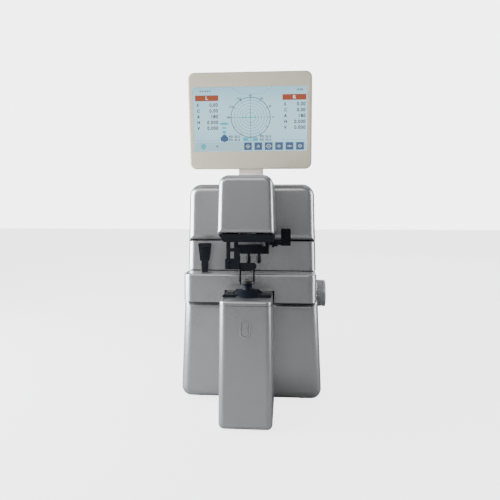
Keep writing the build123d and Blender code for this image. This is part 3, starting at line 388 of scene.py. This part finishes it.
# ---- Lens table drive ----------------------------------------------------------------------------
# Ground steel rods guide the lens table, and a rack on it meets the pinion on the knob's shaft.
# The nose-pad slider has its own rail across the table.
steel = finish_material(
    "ground_steel", (0.60, 0.60, 0.61), 0.26, metal=1.0, tone=0.05, size=1800, depth=0.6,
    bump=0.10, stretch=0.06,
)
paint_node(steel, "table_guides", "table_rack", "pinion_shaft", "slider_rail")

# ---- Knob ----------------------------------------------------------------------------------------
# The silver table knob has straight raised ridges around its rim for the fingers. It sits on the
# end of the pinion shaft, closed with a flat cap.
knob_low, knob_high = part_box("table_knob")
knob_centre = (knob_low + knob_high) / 2
knob_radius = (knob_high.z - knob_low.z) / 2
ridge_count = 40
ridge_size = (0.0066, 0.0014, 0.0009)
ridge_setback = 0.0052
ridges = []
for ridge in range(ridge_count):
    bpy.ops.mesh.primitive_cube_add(size=1)
    piece = bpy.context.object
    turn = math.tau * ridge / ridge_count
    piece.scale = ridge_size
    piece.rotation_euler = (turn, 0, 0)
    piece.location = (
        knob_high.x - ridge_setback,
        knob_centre.y - math.sin(turn) * knob_radius,
        knob_centre.z + math.cos(turn) * knob_radius,
    )
    bpy.ops.object.transform_apply(location=True, rotation=True, scale=True)
    ridges.append(piece)
for piece in ridges:
    piece.select_set(True)
bpy.context.view_layer.objects.active = ridges[0]
bpy.ops.object.join()
settle("knob_flutes", "table_knob", silver, 0.0003)

# ---- Nose-pad slider -----------------------------------------------------------------------------
# A black moulded paddle slides along the lens table on its own rail. Its thumb grip is a row of
# short raised bars on the front face.


def bars(places):
    """Boxes given by their low and high corners in millimetres, joined into the active piece."""
    made = []
    for x0, x1, y0, y1, z0, z1 in places:
        bpy.ops.mesh.primitive_cube_add(size=1)
        box = bpy.context.object
        box.location = ((x0 + x1) / 2 * mm, (y0 + y1) / 2 * mm, (z0 + z1) / 2 * mm)
        box.scale = ((x1 - x0) * mm, (y1 - y0) * mm, (z1 - z0) * mm)
        bpy.ops.object.transform_apply(location=True, rotation=True, scale=True)
        made.append(box)
    for box in made:
        box.select_set(True)
    bpy.context.view_layer.objects.active = made[0]
    bpy.ops.object.join()


paint_node(black, "nose_pad_slider")
paddle_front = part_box("nose_pad_slider")[0].y / mm
paddle_x = -63.0
grip_foot, grip_pitch, grip_height = 199.5, 2.9, 1.0
foot_half, widening = 5.0, 0.11
grip = []
for rib in range(6):
    rib_z = grip_foot + rib * grip_pitch
    half = foot_half + widening * (rib_z - grip_foot)
    grip.append((
        paddle_x - half, paddle_x + half, paddle_front - 0.3, paddle_front + 0.4, rib_z,
        rib_z + grip_height,
    ))
bars(grip)
settle("paddle_grip", "nose_pad_slider", black, 0.0003)

# ---- Seams ---------------------------------------------------------------------------------------
# Dark grey flat rings sit between the stacked covers, set back from the faces. Their colour is
# painted shade: each ring stands in for the shadow in the gap where two covers meet.
seam_shade = finish_material(
    "painted_seam_shade", (0.13, 0.13, 0.135), 0.62, tone=0.10, size=1500, depth=0.7, bump=0.2,
)
shade_ring_width = 0.004
seams = [
    (-88.8, 88.8, 101.0, 208.6, 141.0, 141.6),
    (-89.0, 89.0, 80.0, 208.6, 180.0, 180.7),
    (-89.2, 89.2, 67.9, 208.8, 220.7, 221.4),
]
for seam, place in enumerate(seams):
    bars([place])
    band = bpy.context.object
    bpy.ops.object.mode_set(mode="EDIT")
    bpy.ops.mesh.select_all(action="DESELECT")
    bpy.ops.mesh.select_mode(type="FACE")
    bpy.ops.object.mode_set(mode="OBJECT")
    for face in band.data.polygons:
        face.select = abs(face.normal.z) > 0.9
    bpy.ops.object.mode_set(mode="EDIT")
    bpy.ops.mesh.inset(thickness=shade_ring_width, use_individual=True)
    bpy.ops.mesh.delete(type="FACE")
    bpy.ops.object.mode_set(mode="OBJECT")
    settle(f"painted_seam_shade_{seam + 1}", "base", seam_shade)

# ---- Lens holder ---------------------------------------------------------------------------------
# A black block slides under the head and carries a moulded arm with two pins. Two screws hold the
# arm, a collar and a sleeve surround each pin, and soft tips press on the lens.
paint_node(black, "head_bottom_cover", "holder_guide", "holder_slide", "holder_bar")
paint_node(rubber, "holder_tips")
screw_x, screw_y = -0.0225, -0.0143
for screw_z in (195.5, 201.5):
    bpy.ops.mesh.primitive_cylinder_add(
        vertices=32, radius=1.5 * mm, depth=1.0 * mm, location=(screw_x, screw_y, screw_z * mm),
        rotation=(math.pi / 2, 0, 0),
    )
    settle(f"holder_screw_{round(screw_z)}", "lens_holder", gloss_black, 0.0002)
pin_y = -0.010
for pin_side, pin_x in (("left", -8.5), ("right", 8.5)):
    turned(
        [(1.0, 190.9), (1.9, 190.9), (2.1, 190.7), (2.1, 189.6), (1.8, 189.3), (1.0, 189.3)], 32,
    )
    bpy.context.object.location = (pin_x * mm, pin_y, 0)
    settle(f"pin_collar_{pin_side}", "lens_holder", black)
    turned(
        [(0.9, 190.0), (1.4, 190.0), (1.45, 189.5), (1.45, 176.9), (1.2, 176.4), (0.9, 176.4)], 28,
    )
    bpy.context.object.location = (pin_x * mm, pin_y, 0)
    settle(f"pin_sleeve_{pin_side}", "lens_holder", black)

# ---- Return spring -------------------------------------------------------------------------------
# A coiled steel wire spring of eight turns pushes the lens holder down.
paint_node(steel, "holder_spring")
spring_low, spring_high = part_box("holder_spring")
spring_centre = (spring_low + spring_high) / 2
wire_radius = 0.00045
coil_radius = 0.0026
coil_steps = 28
spring_turns = 8
spring_height = spring_high.z - spring_low.z - 2 * wire_radius
bpy.ops.mesh.primitive_circle_add(
    vertices=12, radius=wire_radius, location=(coil_radius, 0, 0), rotation=(math.pi / 2, 0, 0),
)
bpy.ops.object.transform_apply(location=True, rotation=True, scale=True)
coil = bpy.context.object.modifiers.new("coil", "SCREW")
coil.steps = coil_steps
coil.render_steps = coil_steps
coil.iterations = spring_turns
coil.screw_offset = spring_height / spring_turns
bpy.ops.object.modifier_apply(modifier="coil")
bpy.context.object.location = (spring_centre.x, spring_centre.y, spring_low.z + wire_radius)
spring = settle("return_spring", "base", steel)
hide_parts("holder_spring")
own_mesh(spring)

# ---- Marker lever --------------------------------------------------------------------------------
# An upright moulded lever turns a shaft with two parallel arms. Grip ribs are moulded on its front
# and back.
paint_node(black, "marker_crank", "marker_link", "marker_handle", "marker_shaft")
handle_front, handle_back = (corner.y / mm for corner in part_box("marker_handle"))
rib_left, rib_right = 43.6, 53.9
rib_foot, rib_pitch, rib_height = 224.0, 1.9, 0.85
proud, sunk = 0.35, 0.6
ribs = []
for rib in range(9):
    rib_z = rib_foot + rib * rib_pitch
    for near, far in (
        (handle_front - proud, handle_front + sunk), (handle_back - sunk, handle_back + proud),
    ):
        ribs.append((rib_left, rib_right, near, far, rib_z, rib_z + rib_height))
bars(ribs)
settle("handle_ribs", "marker_lever", black, 0.0003)

# ---- Marker block --------------------------------------------------------------------------------
# A thin silver plate covers the top of the black moulded block. Each ink pen stands in a thick
# moulded sleeve that slides with it.
paint_node(black, "marker_block", "marker_pen_left", "marker_pen_centre", "marker_pen_right")
bars([(-14.4, 17.4, 13.2, 21.2, 220.55, 221.0)])
settle("pen_plate", "marker_unit", silver, 0.0002)
pen_y = 0.017
for pen_name, pen_x in (("left", -13.5), ("centre", 0.0), ("right", 13.5)):
    turned(
        [
            (2.2, 205.6), (3.0, 205.6), (3.05, 205.0), (3.05, 199.2), (2.7, 197.6), (1.6, 196.6),
            (0.9, 196.5), (0.9, 197.4), (2.2, 198.4),
        ],
        40,
    )
    bpy.context.object.location = (pen_x * mm, pen_y, 0)
    settle(f"pen_sleeve_{pen_name}", f"pen_{pen_name}", black)

# ---- Screen housing ------------------------------------------------------------------------------
# Two beige mouldings close around the panel, on a pinkish neck with a steel tilt pin. The surface
# is finely spark-eroded, so it scatters light evenly.
beige = finish_material(
    "beige_moulding", (0.46, 0.425, 0.335), 0.47, tone=0.035, size=1700, depth=0.7, bump=0.14,
    dust=0.06,
)
# The neck's pinkish hue is its own, but it is painted far lighter than the bezel: painted light
# that makes up for the shade the screen casts on it.
neck_beige_lightened = finish_material(
    "neck_moulding_lightened", (0.88, 0.77, 0.70), 0.5, tone=0.04, size=1700, depth=0.7, bump=0.14,
)
paint_node(beige, "screen_bezel", "screen_rear_shell")
paint_node(neck_beige_lightened, "screen_neck")
paint_node(steel, "screen_hinge_pin")

# ---- Screen picture ------------------------------------------------------------------------------
# A 7-inch panel bonded behind a touch glass in a leaning housing. The picture is a pale blue
# gradient; every mark on it is a thin layer of its own colour, lit like the panel.
screen_rest = Matrix.Translation((0, 0.052, 0.388)) @ Matrix.Rotation(math.radians(9), 4, "X")
glass_front = -0.0096
picture_rise = 0.0025
layer_step = 0.00008
layer_thickness = 0.00003


def lit_group():
    """A colour broken up by the panel's fine dots and a slow unevenness of its lamp."""
    group = bpy.data.node_groups.new("lit_dots", "ShaderNodeTree")
    group.interface.new_socket("Colour", in_out="INPUT", socket_type="NodeSocketColor")
    group.interface.new_socket("Colour", in_out="OUTPUT", socket_type="NodeSocketColor")
    tree = group.nodes
    given = tree.new("NodeGroupInput")
    out = tree.new("NodeGroupOutput")
    place = tree.new("ShaderNodeTexCoord")
    dots = tree.new("ShaderNodeTexWave")
    dots.bands_direction = "X"
    dots.inputs["Scale"].default_value = 1650
    slow = tree.new("ShaderNodeTexNoise")
    slow.inputs["Scale"].default_value = 14
    slow.inputs["Detail"].default_value = 2
    group.links.new(place.outputs["Object"], dots.inputs["Vector"])
    group.links.new(place.outputs["Object"], slow.inputs["Vector"])
    dot_range = tree.new("ShaderNodeMapRange")
    dot_range.inputs["To Min"].default_value = 0.93
    dot_range.inputs["To Max"].default_value = 1.0
    group.links.new(dots.outputs["Fac"], dot_range.inputs["Value"])
    slow_range = tree.new("ShaderNodeMapRange")
    slow_range.inputs["From Min"].default_value = 0.3
    slow_range.inputs["From Max"].default_value = 0.7
    slow_range.inputs["To Min"].default_value = 0.94
    slow_range.inputs["To Max"].default_value = 1.04
    group.links.new(slow.outputs["Fac"], slow_range.inputs["Value"])
    product = tree.new("ShaderNodeMath")
    product.operation = "MULTIPLY"
    group.links.new(dot_range.outputs[0], product.inputs[0])
    group.links.new(slow_range.outputs[0], product.inputs[1])
    scaled = tree.new("ShaderNodeVectorMath")
    scaled.operation = "SCALE"
    group.links.new(given.outputs["Colour"], scaled.inputs[0])
    group.links.new(product.outputs[0], scaled.inputs["Scale"])
    group.links.new(scaled.outputs[0], out.inputs["Colour"])
    return group


lit_dots = lit_group()
panel_glow = 1.08
picture_foot, picture_top = 0.348, 0.433


def lit_material(name, colour, gradient=None):
    """A lit area of the picture; gradient gives its colours from the bottom to the top."""
    material = bpy.data.materials.new(name)
    material.use_nodes = True
    tree = material.node_tree
    shader = tree.nodes["Principled BSDF"]
    dots = tree.nodes.new("ShaderNodeGroup")
    dots.node_tree = lit_dots
    dots.inputs["Colour"].default_value = (*colour, 1)
    if gradient:
        place = tree.nodes.new("ShaderNodeTexCoord")
        height = tree.nodes.new("ShaderNodeSeparateXYZ")
        span = tree.nodes.new("ShaderNodeMapRange")
        span.inputs["From Min"].default_value = picture_foot
        span.inputs["From Max"].default_value = picture_top
        ramp = tree.nodes.new("ShaderNodeValToRGB")
        ramp.color_ramp.elements[0].color = (*gradient[0], 1)
        ramp.color_ramp.elements[1].color = (*gradient[-1], 1)
        for index, shade in enumerate(gradient[1:-1], 1):
            stop = ramp.color_ramp.elements.new(index / (len(gradient) - 1))
            stop.color = (*shade, 1)
        tree.links.new(place.outputs["Object"], height.inputs[0])
        tree.links.new(height.outputs["Z"], span.inputs["Value"])
        tree.links.new(span.outputs[0], ramp.inputs["Fac"])
        tree.links.new(ramp.outputs["Color"], dots.inputs["Colour"])
    tree.links.new(dots.outputs["Colour"], shader.inputs["Emission Color"])
    shader.inputs["Emission Strength"].default_value = panel_glow
    shader.inputs["Base Color"].default_value = (0.01, 0.012, 0.015, 1)
    shader.inputs["Roughness"].default_value = 0.12
    return material


picture = lit_material(
    "lit_picture", (0.5, 0.7, 0.8),
    [(0.52, 0.92, 1.12), (0.66, 1.06, 1.22), (0.62, 1.04, 1.18), (0.44, 0.84, 1.02)],
)
paint_node(picture, "touch_glass", "display_panel")
colours = {
    "dark": (0.0, 0.001, 0.003),
    "orange": (0.42, 0.085, 0.025),
    "pale": (0.90, 0.93, 0.95),
    "key": (0.075, 0.15, 0.28),
    "cyan": (0.10, 0.62, 0.78),
    "teal": (0.03, 0.50, 0.40),
    "faint": (0.13, 0.28, 0.36),
    "strip": (0.52, 0.82, 0.90),
}
marks = {name: [] for name in colours}
layers = {
    "strip": 1, "faint": 2, "cyan": 3, "key": 3, "orange": 3, "teal": 4, "dark": 5, "pale": 6,
}


def keep_mark(colour, u, v, turn=0.0):
    """Lays the new flat shape on the glass at (u, v) millimetres from the picture's centre."""
    shape = bpy.context.object
    place = Matrix.Translation((
        u * mm, glass_front - layers[colour] * layer_step, picture_rise + v * mm,
    ))
    upright = Matrix.Rotation(math.radians(90), 4, "X") @ Matrix.Rotation(
        math.radians(turn), 4, "Z",
    )
    shape.matrix_world = screen_rest @ place @ upright @ Matrix.Diagonal((*shape.scale, 1))
    bpy.ops.object.transform_apply(location=True, rotation=True, scale=True)
    marks[colour].append(shape)
    bpy.ops.object.select_all(action="DESELECT")


def bar(colour, u0, u1, v0, v1, turn=0.0):
    """A rectangle between its left, right, low and high edges."""
    bpy.ops.mesh.primitive_plane_add(size=1)
    bpy.context.object.scale = ((u1 - u0) * mm, (v1 - v0) * mm, 1)
    keep_mark(colour, (u0 + u1) / 2, (v0 + v1) / 2, turn)


def disc(colour, u, v, radius, sides=24, squash=1.0, turn=0.0):
    """A filled circle, ellipse or many-sided shape."""
    bpy.ops.mesh.primitive_circle_add(vertices=sides, radius=radius * mm, fill_type="NGON")
    bpy.context.object.scale = (1, squash, 1)
    keep_mark(colour, u, v, turn)


def ring(colour, u, v, radius, width, sides=96):
    """An outline with an open middle."""
    bpy.ops.mesh.primitive_circle_add(vertices=sides, radius=radius * mm, fill_type="NGON")
    bpy.ops.object.mode_set(mode="EDIT")
    bpy.ops.mesh.inset(thickness=width * mm)
    bpy.ops.mesh.delete(type="FACE")
    bpy.ops.object.mode_set(mode="OBJECT")
    keep_mark(colour, u, v)


def words(colour, text, u, v, size, align="LEFT"):
    """A line of text, slightly thickened and spread."""
    bpy.ops.object.text_add()
    line = bpy.context.object.data
    line.body = text
    line.size = size * mm
    line.align_x = align
    line.align_y = "CENTER"
    line.resolution_u = 3
    line.offset = 0.042 * size * mm
    line.space_character = 1.12
    bpy.ops.object.convert(target="MESH")
    keep_mark(colour, u, v)


# readings for the left and the right lens
readings = (("S", "0.00"), ("C", "0.00"), ("A", "180"), ("H", "0.000"), ("V", "0.000"))
row_top, row_pitch, column_width = 19.4, 7.75, 32
for label, left_edge in (("L", -74.6), ("R", 44.2)):
    bar("orange", left_edge, left_edge + column_width, 25.0, 32.6)
    words("pale", label, left_edge + column_width / 2, 28.7, 6.2, "CENTER")
    for row, (name, value) in enumerate(readings):
        height = row_top - row * row_pitch
        words("dark", name, left_edge + 2.2, height, 5.6)
        words("dark", value, left_edge + 31, height, 6.2, "RIGHT")
    bar("faint", left_edge, left_edge + column_width, -28.2, -27.9)
words("dark", "12:00", 71.5, 38.3, 3.4, "RIGHT")
for dash in range(5):
    bar("dark", -68 + dash * 3.3, -65.8 + dash * 3.3, 37.6, 38.6)

# axis dial
dial_u, dial_v, dial_radius = 1.0, 2.6, 27.0
ring("dark", dial_u, dial_v, dial_radius, 0.75, 128)
for rings in range(5):
    ring("faint", dial_u, dial_v, 7.2 + rings * 3.9, 0.5)
bar("faint", dial_u - dial_radius, dial_u + dial_radius, dial_v - 0.2, dial_v + 0.2)
bar("faint", dial_u - 0.2, dial_u + 0.2, dial_v - dial_radius, dial_v + dial_radius)
bar("teal", dial_u - 13, dial_u + 9, dial_v - 0.5, dial_v + 0.5)
bar("teal", dial_u - 0.5, dial_u + 0.5, dial_v - 12.5, dial_v + 13)
for step in range(12):
    angle = math.radians(step * 30)
    reach = dial_radius - 1.4
    tick_u = dial_u + reach * math.cos(angle)
    tick_v = dial_v + reach * math.sin(angle)
    bar("dark", tick_u - 1.7, tick_u + 1.7, tick_v - 0.35, tick_v + 0.35, step * 30)
    if step <= 6:
        label_reach = dial_radius + 3.6
        words("dark", str(step * 30), dial_u + label_reach * math.cos(angle),
              dial_v + label_reach * 0.94 * math.sin(angle), 3.6, "CENTER")

# notch outline at the top, lens-over-nosepiece picture, pupil distances, lower strip and keys
bar("faint", -12, 18, 33.9, 34.2)
bar("faint", -25.5, -11, 38.0, 38.3, -33)
bar("faint", 16.8, 31.3, 38.0, 38.3, 33)
disc("cyan", -35.4, -5.6, 6.2, 32, 0.26)
bar("cyan", -38.2, -32.4, -12.4, -10.2)
disc("cyan", -35.3, -17.5, 3.6, 3, 1.2, 180)
disc("key", -35.2, -26.2, 6.2, 6, 0.72)
disc("key", -35.2, -22.6, 3.4, 24, 0.6)
for side_u in (-29.0, 13.5):
    for line, number in enumerate(("30.0", "30.0")):
        words("dark", "PD " + number, side_u, -23.4 - line * 4.4, 4.2)
bar("cyan", -9.6, 10.8, -29.4, -24.6)
words("pale", "60.0", 0.6, -27.0, 3.6, "CENTER")
bar("strip", -75.5, 75.5, -42.3, -30.6)
disc("cyan", -64.5, -36.4, 3.8, 32)
disc("strip", -62.9, -35.6, 3.2, 32)
disc("faint", -45.5, -36.4, 1.5, 12)
key_left, key_pitch, key_half = -3.0, 14.2, 5.3
key_icons = (
    (3.0, 4, 2.6, 2.6), (2.6, 3, 0.3, 0.3), (3.1, 8, 3.9, 3.9), (2.2, 5, 3.0, 1.0),
    (1.3, 12, 3.6, 3.6), (2.4, 6, 2.6, 2.6),
)
for key, (icon_radius, icon_sides, reach_left, reach_right) in enumerate(key_icons):
    key_u = key_left + key * key_pitch
    bar("key", key_u - key_half, key_u + key_half, -41.6, -31.3)
    ring("pale", key_u, -36.5, icon_radius, 0.5, icon_sides)
    bar("pale", key_u - reach_left, key_u + reach_right, -36.8, -36.2)

for colour, pieces in marks.items():
    bpy.ops.object.select_all(action="DESELECT")
    for piece in pieces:
        piece.select_set(True)
    bpy.context.view_layer.objects.active = pieces[0]
    bpy.ops.object.join()
    layer = bpy.context.object
    layer.name = f"picture_{colour}"
    layer.modifiers.new("thickness", "SOLIDIFY").thickness = layer_thickness
    bpy.ops.object.modifier_apply(modifier="thickness")
    layer.data.materials.clear()
    layer.data.materials.append(lit_material(f"lit_{colour}", colours[colour]))
    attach(layer, "screen")
bpy.ops.object.select_all(action="DESELECT")

# ---- Rear panel ----------------------------------------------------------------------------------
# A steel plate in dark grey powder coat closes the back, held by four screws. It carries the mains
# inlet, the rocker switch and three data sockets, with a thin printed line above and below them.
panel_grey = finish_material(
    "rear_panel_paint", (0.085, 0.088, 0.095), 0.55, metal=0.1, tone=0.08, size=800, depth=1.0,
    bump=0.30,
)
print_ink = finish_material(
    "print_ink", (0.55, 0.56, 0.57), 0.5, tone=0.05, size=1500, depth=0.4, bump=0.05,
)
paint_node(panel_grey, "rear_panel")
paint_node(black, "power_entry", "power_rocker")
paint_node(zinc, "data_ports")
paint_node(steel, "panel_screws")
panel_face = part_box("rear_panel")[1].y / mm
ink_back, ink_front = panel_face - 0.2, panel_face + 0.06
bars([
    (-80.5, -3.5, ink_back, ink_front, 59.6, 60.0),
    (-80.5, -3.5, ink_back, ink_front, 24.6, 25.0),
    (14.0, 72.0, ink_back, ink_front, 51.6, 52.0),
    (14.0, 72.0, ink_back, ink_front, 32.2, 32.6),
])
settle("panel_print", "base", print_ink)

# ---- Vent gauze ----------------------------------------------------------------------------------
# Fine black gauze closes the vents from inside. Each piece is a flat grid of thin wires that stands
# a little behind the slots.
upper_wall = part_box("upper_shell")[1].y / mm
wire_width = 0.9 * mm
gauze_places = (
    ("upper", 46.0, upper_wall - 5.6, 242.0, 286.0),
    ("lower", 58.0, upper_wall - 8.4, 80.0, 120.0),
)
for gauze_name, gauze_half, gauze_y, gauze_low, gauze_high in gauze_places:
    bpy.ops.mesh.primitive_grid_add(x_subdivisions=44, y_subdivisions=20, size=1)
    bpy.context.object.scale = (2 * gauze_half * mm, (gauze_high - gauze_low) * mm, 1)
    bpy.context.object.rotation_euler = (math.pi / 2, 0, 0)
    bpy.context.object.location = (0, gauze_y * mm, (gauze_low + gauze_high) / 2 * mm)
    bpy.ops.object.transform_apply(location=True, rotation=True, scale=True)
    wires = bpy.context.object.modifiers.new("wires", "WIREFRAME")
    wires.thickness = wire_width
    bpy.ops.object.modifier_apply(modifier="wires")
    settle(f"vent_gauze_{gauze_name}", "base", black)
